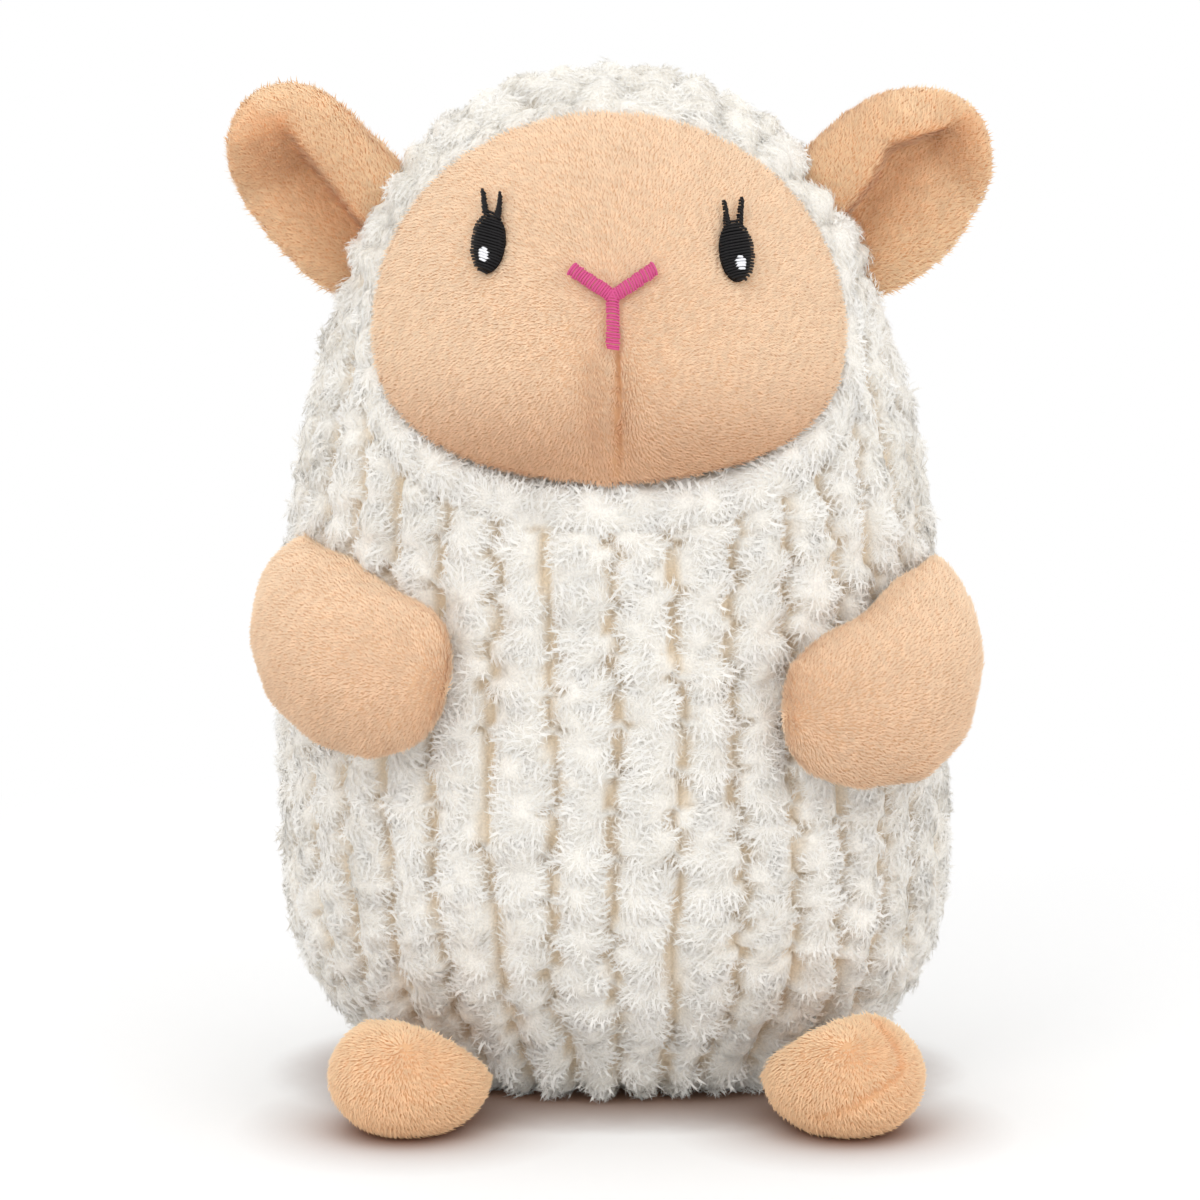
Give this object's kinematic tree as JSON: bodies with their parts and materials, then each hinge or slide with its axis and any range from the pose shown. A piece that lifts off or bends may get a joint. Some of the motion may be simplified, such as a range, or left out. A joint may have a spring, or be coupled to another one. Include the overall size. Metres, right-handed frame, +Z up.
{
  "type": "plush sheep",
  "caption": "Round stuffed sheep with a ribbed pile body, smooth plush face, folded ears, and short arms and feet.",
  "frame": {"origin": "centre of the flat underside of the base", "axes": "+Z up through the crown; the face looks along -Y; the toy's own left is +X"},
  "size_m": [0.1879, 0.1367, 0.25],
  "materials": {
    "wool_pile": "rows of long chenille pile",
    "base_cloth": "smooth short-pile cloth",
    "peach_plush": "short soft plush",
    "black_thread": "satin stitch",
    "white_thread": "satin stitch",
    "pink_thread": "satin stitch",
    "stuffing_fibre": "loose polyester fibre",
    "pouch_cloth": "plain woven cloth"
  },
  "bodies": {
    "torso": {"front_panel": "wool_pile", "left_back_panel": "wool_pile", "right_back_panel": "wool_pile", "crown_panel": "wool_pile", "base_panel": "base_cloth", "torso_stuffing": "stuffing_fibre", "pellet_pouch": "pouch_cloth", "face_panel": "peach_plush", "nose_embroidery": "pink_thread", "left_eye": "black_thread", "left_eye_glint": "white_thread", "right_eye": "black_thread", "right_eye_glint": "white_thread"},
    "left_ear": {"left_ear_back": "peach_plush", "left_ear_lining": "peach_plush"},
    "left_arm": {"left_arm_outer": "peach_plush", "left_arm_inner": "peach_plush", "left_arm_stuffing": "stuffing_fibre"},
    "left_foot": {"left_foot_upper": "peach_plush", "left_foot_sole": "peach_plush", "left_foot_stuffing": "stuffing_fibre"},
    "right_ear": {"right_ear_back": "peach_plush", "right_ear_lining": "peach_plush"},
    "right_arm": {"right_arm_outer": "peach_plush", "right_arm_inner": "peach_plush", "right_arm_stuffing": "stuffing_fibre"},
    "right_foot": {"right_foot_upper": "peach_plush", "right_foot_sole": "peach_plush", "right_foot_stuffing": "stuffing_fibre"}
  },
  "joints": [
    {"name": "left_arm_lift", "type": "hinge", "parent": "torso", "child": "left_arm", "pos_m": [0.0798, -0.00931, 0.138], "axis": [-0.3817, -0.881, -0.2796], "range_deg": [0, 60], "stiffness_Nm_per_rad": 0.02},
    {"name": "right_arm_lift", "type": "hinge", "parent": "torso", "child": "right_arm", "pos_m": [-0.08249, -0.00926, 0.143], "axis": [-0.3826, 0.8803, 0.2803], "range_deg": [0, 60], "stiffness_Nm_per_rad": 0.02},
    {"name": "left_ear_flex", "type": "hinge", "parent": "torso", "child": "left_ear", "pos_m": [0.0584, 0, 0.211], "axis": [0.6018, 0, -0.7986], "range_deg": [-12, 18], "stiffness_Nm_per_rad": 0.01},
    {"name": "right_ear_flex", "type": "hinge", "parent": "torso", "child": "right_ear", "pos_m": [-0.06399, 0, 0.21], "axis": [0.6018, 0, 0.7986], "range_deg": [-12, 18], "stiffness_Nm_per_rad": 0.01},
    {"name": "left_foot_lift", "type": "hinge", "parent": "torso", "child": "left_foot", "pos_m": [0.0535, -0.033, 0.009], "axis": [-1, 0, 0], "range_deg": [0, 25], "stiffness_Nm_per_rad": 0.02},
    {"name": "right_foot_lift", "type": "hinge", "parent": "torso", "child": "right_foot", "pos_m": [-0.0495, -0.033, 0.009], "axis": [-1, 0, 0], "range_deg": [0, 25], "stiffness_Nm_per_rad": 0.02}
  ]
}
